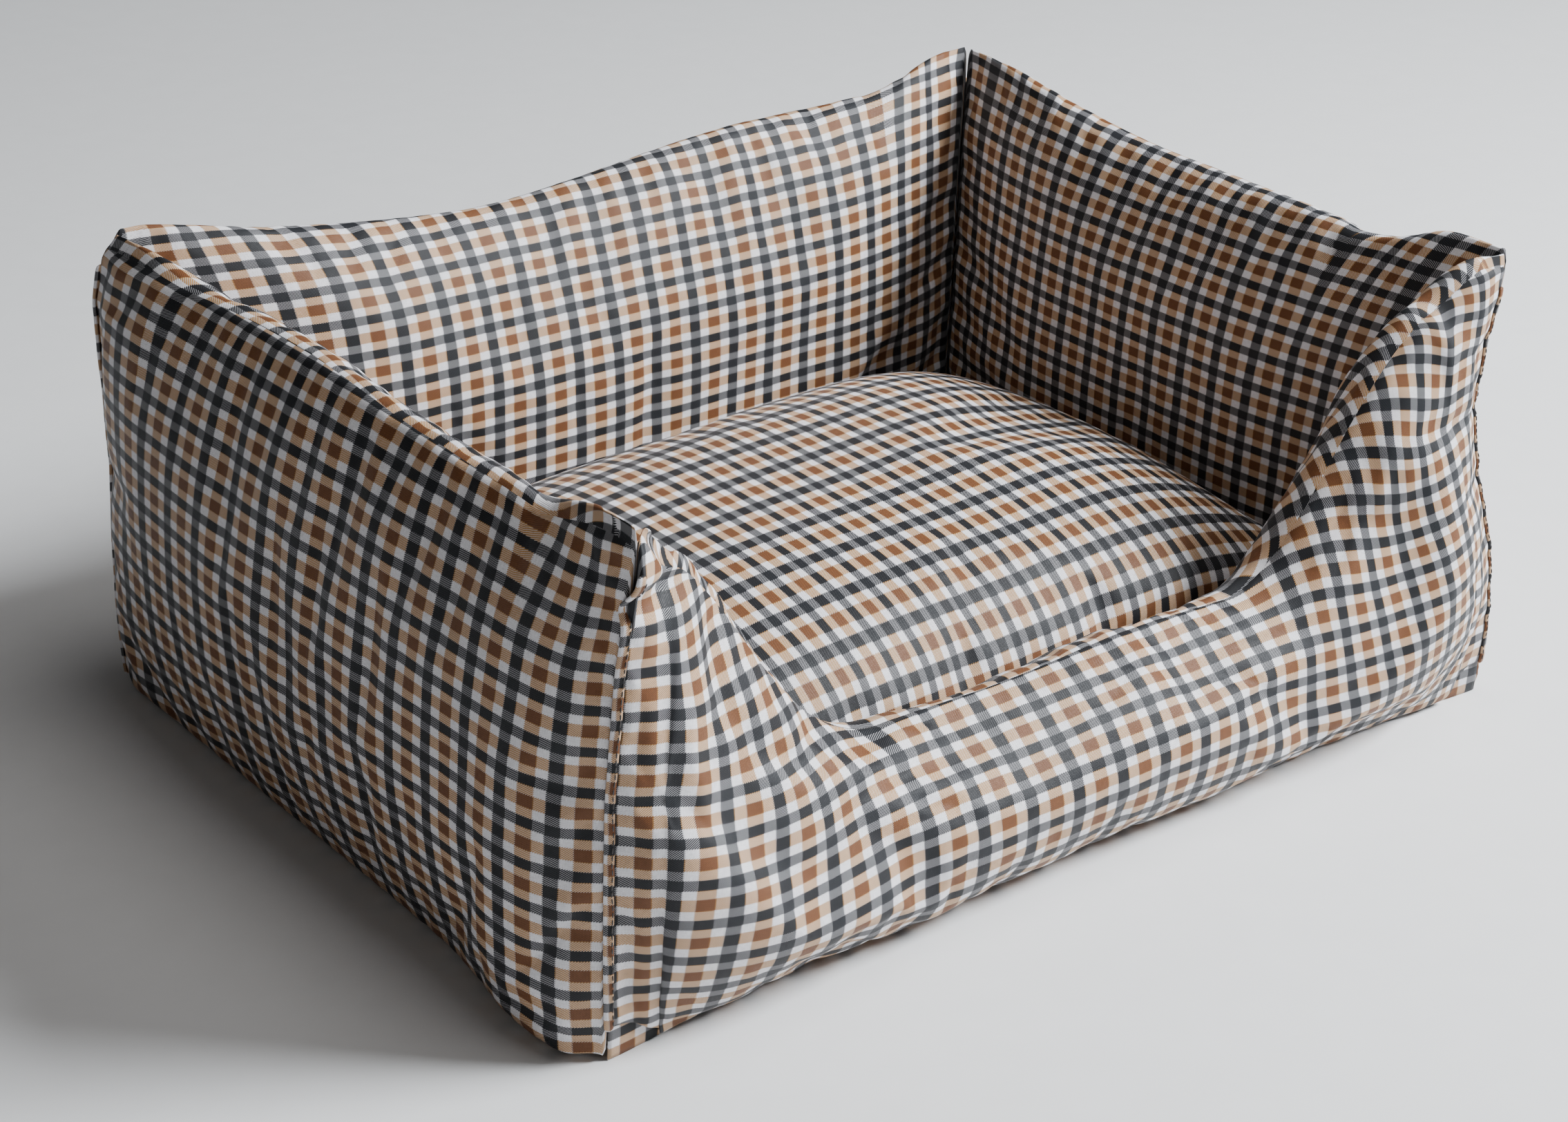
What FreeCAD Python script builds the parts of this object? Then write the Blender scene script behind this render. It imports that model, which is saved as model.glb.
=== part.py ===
import FreeCAD, Part
import math
import os
import Sketcher

from FreeCAD import Placement, Rotation, Vector

# A rectangular pet bed: four padded walls sewn into a ring on a flat base, with a low entrance
# scooped out of the front wall, and a loose, zipped cushion that fills the inside.
# Millimetres, +Z up, front towards -Y. The origin is on the floor, at the middle of the bed.

# ---------------------------------------------------------------- driving dimensions

DIMENSIONS = {
    "bed_length": (612, "outside length at the walls' widest"),
    "bed_width": (464, "outside width at the walls' widest"),
    "cloth": (1.0, "thickness of the check cloth with its lining"),
    "ease": (0.3, "room between pieces that lie against each other"),
    "sole": (1.5, "thickness of the bottom cloth"),
    "floor_pad_depth": (8.0, "thickness of the pad in the base"),
    "floor_set_in": (73, "from the walls' outside to the edge of the pad in the base"),
    # A wall's section at a corner. Set-ins are measured inwards from the wall's widest outside.
    "corner_foot_out": (14, "set-in of the outer foot"),
    "corner_foot_in": (60, "set-in of the inner foot"),
    "corner_crest_out": (20, "set-in of the crest's outer edge"),
    "corner_crest_in": (30, "set-in of the crest's inner edge"),
    "corner_side_top": (253, "height where the sides meet the crest"),
    "corner_crest_rise": (2.5, "rise of the crest above that"),
    "corner_swell_out": (2, "swell of the outer side beyond a straight line"),
    "corner_swell_in": (4, "swell of the inner side beyond a straight line"),
    # The same at the middle of the back, left and right walls.
    "wall_foot_out": (10, "set-in of the outer foot"),
    "wall_foot_in": (62, "set-in of the inner foot"),
    "wall_crest_out": (28, "set-in of the crest's outer edge"),
    "wall_crest_in": (46, "set-in of the crest's inner edge"),
    "wall_side_top": (237, "height where the sides meet the crest"),
    "wall_crest_rise": (5.5, "rise of the crest above that"),
    "wall_swell_out": (18, "swell of the outer side beyond a straight line"),
    "wall_swell_in": (16, "swell of the inner side beyond a straight line"),
    # The same where the front wall drops to the roll across the entrance.
    "roll_foot_out": (26, "set-in of the outer foot"),
    "roll_foot_in": (62, "set-in of the inner foot"),
    "roll_crest_out": (30, "set-in of the crest's outer edge"),
    "roll_crest_in": (50, "set-in of the crest's inner edge"),
    "roll_side_top": (85, "height where the sides meet the crest"),
    "roll_crest_rise": (7, "rise of the crest above that"),
    "roll_swell_out": (26, "swell of the outer side beyond a straight line"),
    "roll_swell_in": (18, "swell of the inner side beyond a straight line"),
    "corner_zone": (150, "length over which a corner's shape fades into the wall's"),
    "scoop_zone": (215, "the same in the front wall, where the height falls too"),
    "seam_width": (4.5, "width of the folded seam at each outer corner"),
    "seam_depth": (1.6, "thickness of the folded seam"),
    # The loose cushion.
    "cushion_length": (464, "length at its widest"),
    "cushion_width": (310, "width at its widest"),
    "cushion_seam": (38, "height of the cushion's edge seam above the floor"),
    "cushion_side_top": (62, "height where the side turns into the crown"),
    "cushion_crown": (50, "rise of the crown above the side"),
    "cushion_foot_set_in": (33, "set-in of the flat foot from the side's top"),
    "cushion_swell": (4, "swell of the side beyond a straight line"),
    # The zip, along the underside of the cushion's back edge.
    "zip_height": (27, "height of the zip's line above the floor"),
    "zip_length": (300, "length of the opening, from end to end of the teeth"),
    "zip_tape_length": (318, "length of the tape"),
    "zip_tape_width": (11, "width of each half of the tape"),
    "zip_tape_depth": (0.8, "thickness of the tape"),
    "zip_tape_gap": (0.4, "gap between the two halves, under the teeth"),
    "zip_tooth_width": (4.0, "width of the closed teeth"),
    "zip_tooth_depth": (1.3, "thickness of the closed teeth"),
    "zip_tooth_length": (1.2, "length of one tooth along the zip"),
    "zip_tooth_pitch": (2.5, "distance from one tooth to the next"),
    "zip_stop_length": (2.0, "length of the metal stop at each end"),
    "zip_stop_width": (6.0, "width of each stop"),
    "slider_length": (9.0, "length of the slider"),
    "slider_width": (8.0, "width of the slider"),
    "slider_plate": (0.8, "thickness of the slider's plate"),
    "slider_lip": (1.4, "width of the lip down each side of it"),
    "slider_play": (0.3, "room between the slider and what it slides on"),
    "bridge_post": (1.0, "length and width of each post of the slider's bridge"),
    "bridge_gap": (1.8, "height of the gap under the bridge"),
    "bridge_bar": (0.8, "thickness of the bridge"),
    "pull_pin": (1.2, "diameter of the pull's cross pin, and thickness of the pull"),
    "pull_arm": (1.0, "width of each arm of the pull"),
    "pull_eye": (5.0, "length of the arms, from the pin to the grip"),
    "pull_reach": (13.5, "from the pin to the pull's tip"),
    "pull_width": (5.2, "width of the pull's grip"),
    "pull_hole": (2.4, "diameter of the hole near the pull's tip"),
}

doc = FreeCAD.newDocument("pet_bed")


class Size:
    """A length as a formula on the sheet's cells, with the number that it comes to."""

    def __init__(self, text, number):
        self.text = text
        self.number = float(number)

    def __str__(self):
        return self.text

    def __float__(self):
        return self.number

    def __add__(self, other):
        return Size(f"({self} + {other})", self.number + float(other))

    def __sub__(self, other):
        return Size(f"({self} - {other})", self.number - float(other))

    def __mul__(self, other):
        return Size(f"({self} * {other})", self.number * float(other))

    def __truediv__(self, other):
        return Size(f"({self} / {other})", self.number / float(other))

    def __neg__(self):
        return Size(f"(0 - {self})", -self.number)


def fill_sheet():
    """The spreadsheet of driving dimensions, and each of its cells as a Size."""
    sheet = doc.addObject("Spreadsheet::Sheet", "Sheet")
    sizes = {}
    for row, (alias, (number, meaning)) in enumerate(DIMENSIONS.items(), start=1):
        sheet.set(f"A{row}", alias)
        sheet.set(f"B{row}", str(number))
        sheet.set(f"C{row}", meaning)
        sheet.setAlias(f"B{row}", alias)
        sizes[alias] = Size(f"Sheet.{alias}", number)
    doc.recompute()
    return sizes


S = fill_sheet()
ZERO = Size("0", 0)

# ---------------------------------------------------------------- sketches and features


def origin_plane(body, role):
    return next(f for f in body.Origin.OriginFeatures if f.Role == role)


def new_body(label, place=Placement()):
    body = doc.addObject("PartDesign::Body", label)
    body.Label = label
    body.Placement = place
    return body


def new_sketch(body, name, role, shift=(0, 0, 0), turn=Rotation()):
    """A sketch on one of the body's own planes, moved by shift in that plane's axes and then turned."""
    sketch = body.newObject("Sketcher::SketchObject", name)
    sketch.AttachmentSupport = [(origin_plane(body, role), "")]
    sketch.MapMode = "FlatFace"
    sketch.AttachmentOffset = Placement(Vector(*[float(d) for d in shift]), turn)
    for axis, distance in zip("xyz", shift):
        if isinstance(distance, Size):
            sketch.setExpression(f"AttachmentOffset.Base.{axis}", str(distance))
    return sketch


def bind(sketch, constraint, size):
    """Adds a dimension to a sketch and ties it to the sheet."""
    index = sketch.addConstraint(constraint)
    sketch.setExpression(f"Constraints[{index}]", str(size))


def end_at(sketch, edge, point):
    """1 or 2: which end of a sketch's edge is at the point."""
    gaps = [(sketch.getPoint(edge, end) - point).Length for end in (1, 2)]
    return 1 if gaps[0] < gaps[1] else 2


def swollen_radius(start, end, swell):
    """The radius of an arc over the chord from start to end that stands off it by swell, either way."""
    run = end[0] - start[0]
    rise = end[1] - start[1]
    height = -swell if float(swell) < 0 else swell
    return (run * run + rise * rise) / (height * 8) + height / 2


def draw_outline(sketch, corners, swells):
    """A closed outline through corners, in order: each side an arc that stands out by its swell to the
    left of the way round, or a straight line where its swell is None."""
    points = [Vector(float(a), float(b), 0) for a, b in corners]
    count = len(points)
    for i, swell in enumerate(swells):
        start, end = points[i], points[(i + 1) % count]
        if swell is None:
            sketch.addGeometry(Part.LineSegment(start, end))
            continue
        along = (end - start).normalize()
        middle = (start + end) / 2 + Vector(-along.y, along.x, 0) * float(swell)
        sketch.addGeometry(Part.Arc(start, middle, end))
    for i in range(count):
        after = (i + 1) % count
        ends = end_at(sketch, i, points[after]), end_at(sketch, after, points[after])
        sketch.addConstraint(Sketcher.Constraint("Coincident", i, ends[0], after, ends[1]))
    for i, (a, b) in enumerate(corners):
        end = end_at(sketch, i, points[i])
        bind(sketch, Sketcher.Constraint("DistanceX", -1, 1, i, end, float(a)), a)
        bind(sketch, Sketcher.Constraint("DistanceY", -1, 1, i, end, float(b)), b)
    for i, swell in enumerate(swells):
        if swell is not None:
            radius = swollen_radius(corners[i], corners[(i + 1) % count], swell)
            bind(sketch, Sketcher.Constraint("Radius", i, float(radius)), radius)


def draw_rectangle(sketch, length, width, start=None):
    """A rectangle about the sketch's origin, or with its low corner at start."""
    low = start or (-length / 2, -width / 2)
    high = (low[0] + length, low[1] + width)
    draw_outline(sketch, [low, (high[0], low[1]), high, (low[0], high[1])], [None] * 4)


def extrude(body, sketch, length, reversed_way=False):
    pad = body.newObject("PartDesign::Pad", body.Label + "_pad")
    pad.Profile = sketch
    pad.Reversed = reversed_way
    pad.setExpression("Length", str(length))
    return pad


def cut(body, sketch, depth, reversed_way=False):
    pocket = body.newObject("PartDesign::Pocket", body.Label + "_cut")
    pocket.Profile = sketch
    pocket.Reversed = reversed_way
    pocket.setExpression("Length", str(depth))
    return pocket


def loft(body, kind, sketches):
    made = body.newObject("PartDesign::" + kind, body.Label + "_loft")
    made.Profile = sketches[0]
    made.Sections = sketches[1:]
    return made


# ---------------------------------------------------------------- walls

FLAT = 1.0
# How far each section is from the corner, as a share of the corner's zone; how full it is there,
# from the corner's shape at 0 to the wall's at 1; and how far its height has gone the same way.
PLAIN_STATIONS = [
    (0.0, 0.0, 0.0),
    (0.19, 0.34, 0.30),
    (0.4, 0.64, 0.62),
    (0.67, 0.89, 0.88),
    (1.0, FLAT, FLAT),
]
SCOOP_STATIONS = [
    (0.0, 0.0, 0.0),
    (0.12, 0.34, 0.10),
    (0.25, 0.62, 0.23),
    (0.38, 0.82, 0.38),
    (0.5, 0.92, 0.54),
    (0.62, 0.97, 0.72),
    (0.74, FLAT, 0.86),
    (0.86, FLAT, 0.96),
    (1.0, FLAT, FLAT),
]
MITRE = 45.0  # degrees between a wall's last section and its other ones
FAN = 1.5  # how quickly that turn fades away from the corner
CORNER_PLAY = 0.4  # room between the ends of two walls at their mitre
CREST_DROP = {"wall": 1.0, "roll": 1.8}  # a sloping crest is lowered more for the same thickness
FOOT = S["sole"] + S["ease"]


def mixed(kind, name, share):
    """A size of the wall's section, share of the way from the corner's to the wall's own."""
    corner = S["corner_" + name]
    return corner + (S[f"{kind}_{name}"] - corner) * share


def wall_section(body, kind, half_length, half_width, station, end, inset, foot):
    """One cross-section of a wall that runs along X with its outside towards -Y. inset shrinks it on
    every side but the foot, for the hollow in a cover or for the filling."""
    share, fullness, drop, zone = station
    turn = MITRE * (1 - share) ** FAN
    slant = round(1 / math.cos(math.radians(turn)), 5)
    play = inset * 1.5 + CORNER_PLAY
    distance = half_length - zone * share - play * (1 - share)
    name = f"{body.Label}_section"
    shift = (-half_width, 0, distance if end > 0 else -distance)
    sketch = new_sketch(body, name, "YZ_Plane", shift, Rotation(Vector(0, 1, 0), turn * end))
    side_top = mixed(kind, "side_top", drop) - inset * CREST_DROP[kind]
    corners = [
        ((mixed(kind, "foot_out", fullness) + inset) * slant, foot),
        ((mixed(kind, "crest_out", fullness) + inset) * slant, side_top),
        ((mixed(kind, "crest_in", fullness) - inset) * slant, side_top),
        ((mixed(kind, "foot_in", fullness) - inset) * slant, foot),
    ]
    swells = [
        mixed(kind, "swell_out", fullness) * slant,
        mixed(kind, "crest_rise", fullness),
        mixed(kind, "swell_in", fullness) * slant,
        None,
    ]
    draw_outline(sketch, corners, swells)
    return sketch


def wall_loft(body, feature, kind, half_length, half_width, inset, foot):
    """The sections from one corner to the other, and the loft through them."""
    scooped = kind == "roll"
    zone = S["scoop_zone"] if scooped else S["corner_zone"]
    stations = [(*s, zone) for s in (SCOOP_STATIONS if scooped else PLAIN_STATIONS)]
    middle = [(FLAT, FLAT, FLAT, half_length)]
    sketches = []
    for end, row in ((-1, stations), (1, middle), (1, stations[::-1])):
        for station in row:
            sketches.append(
                wall_section(body, kind, half_length, half_width, station, end, inset, foot)
            )
    return loft(body, feature, sketches)


def make_wall(side, kind, half_length, half_width, turn):
    """A wall's cover, a cloth bag open at its foot where the base closes it, and its filling."""
    place = Placement(Vector(), Rotation(Vector(0, 0, 1), turn))
    cover = new_body(side + "_wall_cover", place)
    wall_loft(cover, "AdditiveLoft", kind, half_length, half_width, ZERO, FOOT)
    whole = checked_volume(cover)
    wall_loft(cover, "SubtractiveLoft", kind, half_length, half_width, S["cloth"], FOOT - 1)
    if checked_volume(cover) > whole * 0.2:
        raise RuntimeError(cover.Label + " isn't hollow")
    filling = new_body(side + "_wall_filling", place)
    inset = S["cloth"] + S["ease"]
    wall_loft(filling, "AdditiveLoft", kind, half_length, half_width, inset, FOOT)
    return [cover, filling]


def checked_volume(body):
    doc.recompute()
    return body.Shape.Volume


# ---------------------------------------------------------------- base and corner seams


def make_sole():
    """The bottom cloth, bowed as the walls' feet are: out a little at the back and sides, and in
    under the roll at the front."""
    body = new_body("base_bottom_panel")
    sketch = new_sketch(body, "sole_outline", "XY_Plane")
    reach = S["bed_length"] / 2 - S["corner_foot_out"]
    half = S["bed_width"] / 2 - S["corner_foot_out"]
    bow = S["corner_foot_out"] - S["wall_foot_out"]
    front_bow = S["corner_foot_out"] - S["roll_foot_out"]
    corners = [(-reach, -half), (-reach, half), (reach, half), (reach, -half)]
    draw_outline(sketch, corners, [bow, bow, bow, front_bow])
    extrude(body, sketch, S["sole"])
    return body


def make_floor_layer(label, bottom, depth):
    """A rectangular layer inside the ring of walls."""
    body = new_body(label)
    sketch = new_sketch(body, label + "_outline", "XY_Plane", (0, 0, bottom))
    length = S["bed_length"] - S["floor_set_in"] * 2
    width = S["bed_width"] - S["floor_set_in"] * 2
    draw_rectangle(sketch, length, width)
    extrude(body, sketch, depth)
    return body


SEAM_SHARES = (0, 0.25, 0.5, 0.75, 1)


def make_corner_seam(name, x_way, y_way):
    """The folded, edge-stitched seam that runs up an outer corner from the floor to the tip. It stands
    off the corner by the same swell as the walls there."""
    body = new_body(f"corner_seam_{name}")
    length = S["bed_length"] / 2
    width = S["bed_width"] / 2
    rise = S["corner_side_top"] - S["seam_width"] - FOOT
    turn = Rotation(Vector(0, 0, 1), math.degrees(math.atan2(y_way, x_way)))
    sketches = []
    for share in SEAM_SHARES:
        set_in = S["corner_foot_out"] + (S["corner_crest_out"] - S["corner_foot_out"]) * share
        set_in = set_in - S["corner_swell_out"] * 4 * share * (1 - share)
        spot = ((length - set_in) * x_way, (width - set_in) * y_way, FOOT + rise * share)
        sketch = new_sketch(body, f"{name}_fold", "XY_Plane", spot, turn)
        low = (S["ease"] * 2, -S["seam_depth"] / 2)
        draw_rectangle(sketch, S["seam_width"], S["seam_depth"], low)
        sketches.append(sketch)
    made = loft(body, "AdditiveLoft", sketches)
    made.Ruled = True
    return body


# ---------------------------------------------------------------- cushion

STEPS = 6  # sections in each half of the cushion
END_HEIGHT = 0.45  # share of the height that the cushion keeps at its ends
END_WIDTH = 0.84  # share of the width that it keeps there
END_POWER = 10  # how late it starts to round off
CUSHION_BOTTOM = S["sole"] + S["floor_pad_depth"] + S["cloth"] + S["ease"] * 4


def cushion_section(body, share, fullness, inset):
    """One cross-section of the cushion, a flat foot, two swollen sides and a crown."""
    distance = (S["cushion_length"] / 2 - inset) * share
    sketch = new_sketch(body, body.Label + "_section", "YZ_Plane", (0, 0, distance))
    wide = END_WIDTH + (1 - END_WIDTH) * fullness
    high = END_HEIGHT + (1 - END_HEIGHT) * fullness
    half = (S["cushion_width"] / 2) * wide - inset
    foot_half = half - S["cushion_foot_set_in"] * high
    bottom = CUSHION_BOTTOM + inset
    side_top = CUSHION_BOTTOM + (S["cushion_side_top"] - CUSHION_BOTTOM) * high - inset
    swell = S["cushion_swell"]
    crown = S["cushion_crown"] * high ** 2
    corners = [(-foot_half, bottom), (-half, side_top), (half, side_top), (foot_half, bottom)]
    draw_outline(sketch, corners, [swell, crown, swell, None])
    return sketch


def cushion_loft(body, feature, inset):
    """Sections that crowd together towards the ends, where the cushion rounds off."""
    sketches = []
    for step in range(-STEPS, STEPS + 1):
        share = round(math.sin(math.radians(90 * step / STEPS)), 4)
        fullness = round((1 - share ** END_POWER) ** 0.5, 4)
        sketches.append(cushion_section(body, share, fullness, inset))
    made = loft(body, feature, sketches)
    made.Ruled = True
    return made


def cut_away(body, height, upwards):
    """Cuts off everything above or below a height."""
    sketch = new_sketch(body, body.Label + "_parting", "XY_Plane", (0, 0, height))
    draw_rectangle(sketch, S["bed_length"], S["bed_width"])
    before = checked_volume(body)
    cut(body, sketch, S["bed_width"], upwards)
    if checked_volume(body) > before * 0.95:
        raise RuntimeError(body.Label + " was not cut")


def zip_place():
    """The zip's own frame on the cushion's lower back side: X along it, Z out of the cushion."""
    top = (float(S["cushion_width"]) / 2, float(S["cushion_side_top"]))
    foot = (top[0] - float(S["cushion_foot_set_in"]), float(CUSHION_BOTTOM))
    swell = float(S["cushion_swell"])
    radius = float(swollen_radius(foot, top, swell))
    chord = math.dist(foot, top)
    lean = math.atan2(top[0] - foot[0], top[1] - foot[1])
    climb = (float(S["zip_height"]) - foot[1]) / math.cos(lean)
    tilt = math.asin((chord / 2 - climb) / radius)
    stand_off = radius * math.cos(tilt) - (radius - swell) - float(S["cloth"]) / 2
    spot = Vector(0, foot[0], foot[1]) + Vector(0, math.sin(lean), math.cos(lean)) * climb
    spot += Vector(0, math.cos(lean), -math.sin(lean)) * stand_off
    return Placement(spot, Rotation(Vector(1, 0, 0), -90 - math.degrees(lean + tilt)))


def cut_zip_window(body):
    """The opening in the bottom panel that the zip's tape fills."""
    depth = S["cloth"] * 4
    place = zip_place()
    start = place.multVec(Vector(0, 0, float(depth) / 2))
    sketch = new_sketch(body, "zip_window", "XY_Plane", tuple(start), place.Rotation)
    width = S["zip_tape_width"] * 2 + S["zip_tape_gap"] + S["ease"] * 2
    draw_rectangle(sketch, S["zip_tape_length"] + S["ease"] * 2, width)
    before = checked_volume(body)
    cut(body, sketch, depth)
    if checked_volume(body) > before * 0.99:
        raise RuntimeError("the zip's window was not cut")


def make_cushion():
    top = new_body("cushion_top_panel")
    bottom = new_body("cushion_bottom_panel")
    for body, upwards in ((top, False), (bottom, True)):
        cushion_loft(body, "AdditiveLoft", ZERO)
        cushion_loft(body, "SubtractiveLoft", S["cloth"])
        height = S["cushion_seam"] + (S["ease"] / 2 if body is top else -S["ease"] / 2)
        cut_away(body, height, upwards)
    cut_zip_window(bottom)
    filling = new_body("cushion_filling")
    cushion_loft(filling, "AdditiveLoft", S["cloth"] + S["ease"])
    return [top, bottom, filling]


# ---------------------------------------------------------------- zip

TAPE_TOP = S["zip_tape_depth"] / 2
TEETH_TOP = TAPE_TOP + S["zip_tooth_depth"]
PLATE_BOTTOM = TEETH_TOP + S["slider_play"]
PLATE_TOP = PLATE_BOTTOM + S["slider_plate"]
PIN_HEIGHT = PLATE_TOP + S["bridge_gap"] / 2
PARKED = S["zip_length"] / 2 - S["zip_stop_length"] - S["slider_play"] - S["slider_length"] / 2


def block(label, spot, length, width, depth):
    """A box in the zip's own frame: spot is the middle of its low face."""
    box = doc.addObject("Part::Box", label)
    box.Label = label
    box.setExpression("Length", str(length))
    box.setExpression("Width", str(width))
    box.setExpression("Height", str(depth))
    for axis, distance in zip("xyz", (spot[0] - length / 2, spot[1] - width / 2, spot[2])):
        box.setExpression(f"Placement.Base.{axis}", str(distance))
    return box


def upright(label, spot, diameter, depth, across=False):
    """A round bar in the zip's own frame, standing on spot, or lying across the zip from it."""
    bar = doc.addObject("Part::Cylinder", label)
    bar.Label = label
    bar.setExpression("Radius", str(diameter / 2))
    bar.setExpression("Height", str(depth))
    for axis, distance in zip("xyz", spot):
        bar.setExpression(f"Placement.Base.{axis}", str(distance))
    if across:
        bar.Placement.Rotation = Rotation(Vector(1, 0, 0), -90)
    return bar


def joined(kind, label, pieces):
    """Pieces made in the zip's own frame, fused or grouped and put where the zip is."""
    made = doc.addObject(kind, label)
    made.Label = label
    if kind == "Part::Compound":
        made.Links = pieces
    else:
        made.Shapes = pieces
    made.Placement = zip_place()
    return made


def make_tapes():
    tapes = []
    for name, side in (("upper", -1), ("lower", 1)):
        middle = (S["zip_tape_gap"] + S["zip_tape_width"]) / 2 * side
        label = f"zip_tape_{name}"
        spot = (ZERO, middle, -TAPE_TOP)
        tape = block(label + "_strip", spot, S["zip_tape_length"], S["zip_tape_width"],
                     S["zip_tape_depth"])
        tapes.append(joined("Part::Compound", label, [tape]))
    return tapes


def make_teeth():
    """The closed teeth: a row of ribs across a narrow core."""
    body = new_body("zip_teeth", zip_place())
    core = new_sketch(body, "teeth_core", "XY_Plane", (0, 0, TAPE_TOP))
    draw_rectangle(core, S["zip_length"], S["zip_tooth_width"] / 2)
    extrude(body, core, S["zip_tooth_depth"] / 2)
    first = new_sketch(body, "tooth_outline", "XY_Plane", (0, 0, TAPE_TOP))
    low = (-S["zip_length"] / 2, -S["zip_tooth_width"] / 2)
    draw_rectangle(first, S["zip_tooth_length"], S["zip_tooth_width"], low)
    tooth = extrude(body, first, S["zip_tooth_depth"])
    row = body.newObject("PartDesign::LinearPattern", "teeth_row")
    row.Originals = [tooth]
    row.Direction = (origin_plane(body, "X_Axis"), [""])
    span = S["zip_length"] - S["zip_tooth_length"]
    row.setExpression("Length", str(span))
    row.Occurrences = int(float(span) / float(S["zip_tooth_pitch"])) + 1
    body.Tip = row
    return body


def make_stops():
    """The two metal stops at the ends of the teeth, as one group."""
    distance = (S["zip_length"] - S["zip_stop_length"]) / 2
    stops = []
    for name, side in (("open_end", -1), ("closed_end", 1)):
        spot = (distance * side, ZERO, TEETH_TOP)
        stops.append(block("stop_" + name, spot, S["zip_stop_length"], S["zip_stop_width"],
                           S["slider_plate"]))
    return joined("Part::Compound", "zip_stops", stops)


def make_slider():
    """A plate over the teeth, a lip down each side and a bridge on top for the pull."""
    length = S["slider_length"]
    width = S["slider_width"]
    post = S["bridge_post"]
    pieces = [block("slider_plate", (PARKED, ZERO, PLATE_BOTTOM), length, width, S["slider_plate"])]
    lip_bottom = TAPE_TOP + S["slider_play"]
    for name, side in (("near", -1), ("far", 1)):
        spot = (PARKED, (width - S["slider_lip"]) / 2 * side, lip_bottom)
        pieces.append(block("slider_lip_" + name, spot, length, S["slider_lip"],
                            PLATE_TOP - lip_bottom))
        spot = (PARKED + (length - post * 2) / 2 * side, ZERO, PLATE_BOTTOM)
        pieces.append(block("bridge_post_" + name, spot, post, post * 2,
                            S["slider_plate"] + S["bridge_gap"]))
    top = (PARKED, ZERO, PLATE_TOP + S["bridge_gap"])
    pieces.append(block("bridge_bar", top, length - post, post * 2, S["bridge_bar"]))
    return joined("Part::MultiFuse", "zip_slider", pieces)


def make_pull():
    """The pull: a pin through the slider's bridge, two arms past it and a grip with a hole."""
    thick = S["pull_pin"]
    width = S["pull_width"]
    arm = S["pull_arm"]
    low = PIN_HEIGHT - thick / 2
    pieces = [upright("pull_cross_pin", (PARKED, -width / 2, PIN_HEIGHT), thick, width, True)]
    for name, side in (("near", -1), ("far", 1)):
        spot = (PARKED + S["pull_eye"] / 2, (width - arm) / 2 * side, low)
        pieces.append(block("pull_arm_" + name, spot, S["pull_eye"] + thick / 2, arm, thick))
    grip_length = S["pull_reach"] - S["pull_eye"]
    spot = (PARKED + S["pull_eye"] + grip_length / 2, ZERO, low)
    pieces.append(block("pull_grip", spot, grip_length, width, thick))
    blank = doc.addObject("Part::MultiFuse", "pull_blank")
    blank.Shapes = pieces
    spot = (PARKED + S["pull_reach"] - S["pull_hole"], ZERO, low - thick)
    hole = upright("pull_hole_tool", spot, S["pull_hole"], thick * 3)
    pull = doc.addObject("Part::Cut", "zip_pull")
    pull.Label = "zip_pull"
    pull.Base = blank
    pull.Tool = hole
    pull.Placement = zip_place()
    return pull


# ---------------------------------------------------------------- the whole bed


def main():
    parts = []
    half_length = S["bed_length"] / 2
    half_width = S["bed_width"] / 2
    parts += make_wall("front", "roll", half_length, half_width, 0)
    parts += make_wall("right", "wall", half_width, half_length, 90)
    parts += make_wall("back", "wall", half_length, half_width, 180)
    parts += make_wall("left", "wall", half_width, half_length, 270)
    parts.append(make_sole())
    pad_bottom = S["sole"] + S["ease"]
    parts.append(make_floor_layer("base_pad", pad_bottom, S["floor_pad_depth"]))
    lining_bottom = pad_bottom + S["floor_pad_depth"] + S["ease"]
    parts.append(make_floor_layer("base_lining", lining_bottom, S["cloth"]))
    for name, x_way, y_way in (
        ("front_left", -1, -1),
        ("front_right", 1, -1),
        ("back_left", -1, 1),
        ("back_right", 1, 1),
    ):
        parts.append(make_corner_seam(name, x_way, y_way))
    parts += make_cushion()
    parts += make_tapes()
    parts += [make_teeth(), make_stops(), make_slider(), make_pull()]
    doc.recompute()
    write_parts(parts)


def write_parts(parts):
    """Checks every object and every piece, and writes one file for each piece."""
    for item in doc.Objects:
        if "Invalid" in item.State or "Error" in item.State:
            raise RuntimeError(f"{item.Name} failed: {item.State}")
    os.makedirs("parts", exist_ok=True)
    for part in parts:
        shape = part.Shape
        if shape.isNull() or not shape.isValid():
            raise RuntimeError(f"{part.Label} has no valid shape")
        shape.exportStep(f"parts/{part.Label}.step")
        size = shape.BoundBox
        print(f"{part.Label}: {shape.Volume / 1000:.1f} cm3, {len(shape.Solids)} solid,"
              f" X {size.XMin:.1f} {size.XMax:.1f}, Y {size.YMin:.1f} {size.YMax:.1f},"
              f" Z {size.ZMin:.1f} {size.ZMax:.1f}")


main()
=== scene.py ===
import math

import bpy
import numpy as np
from mathutils import Matrix, Vector


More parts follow.
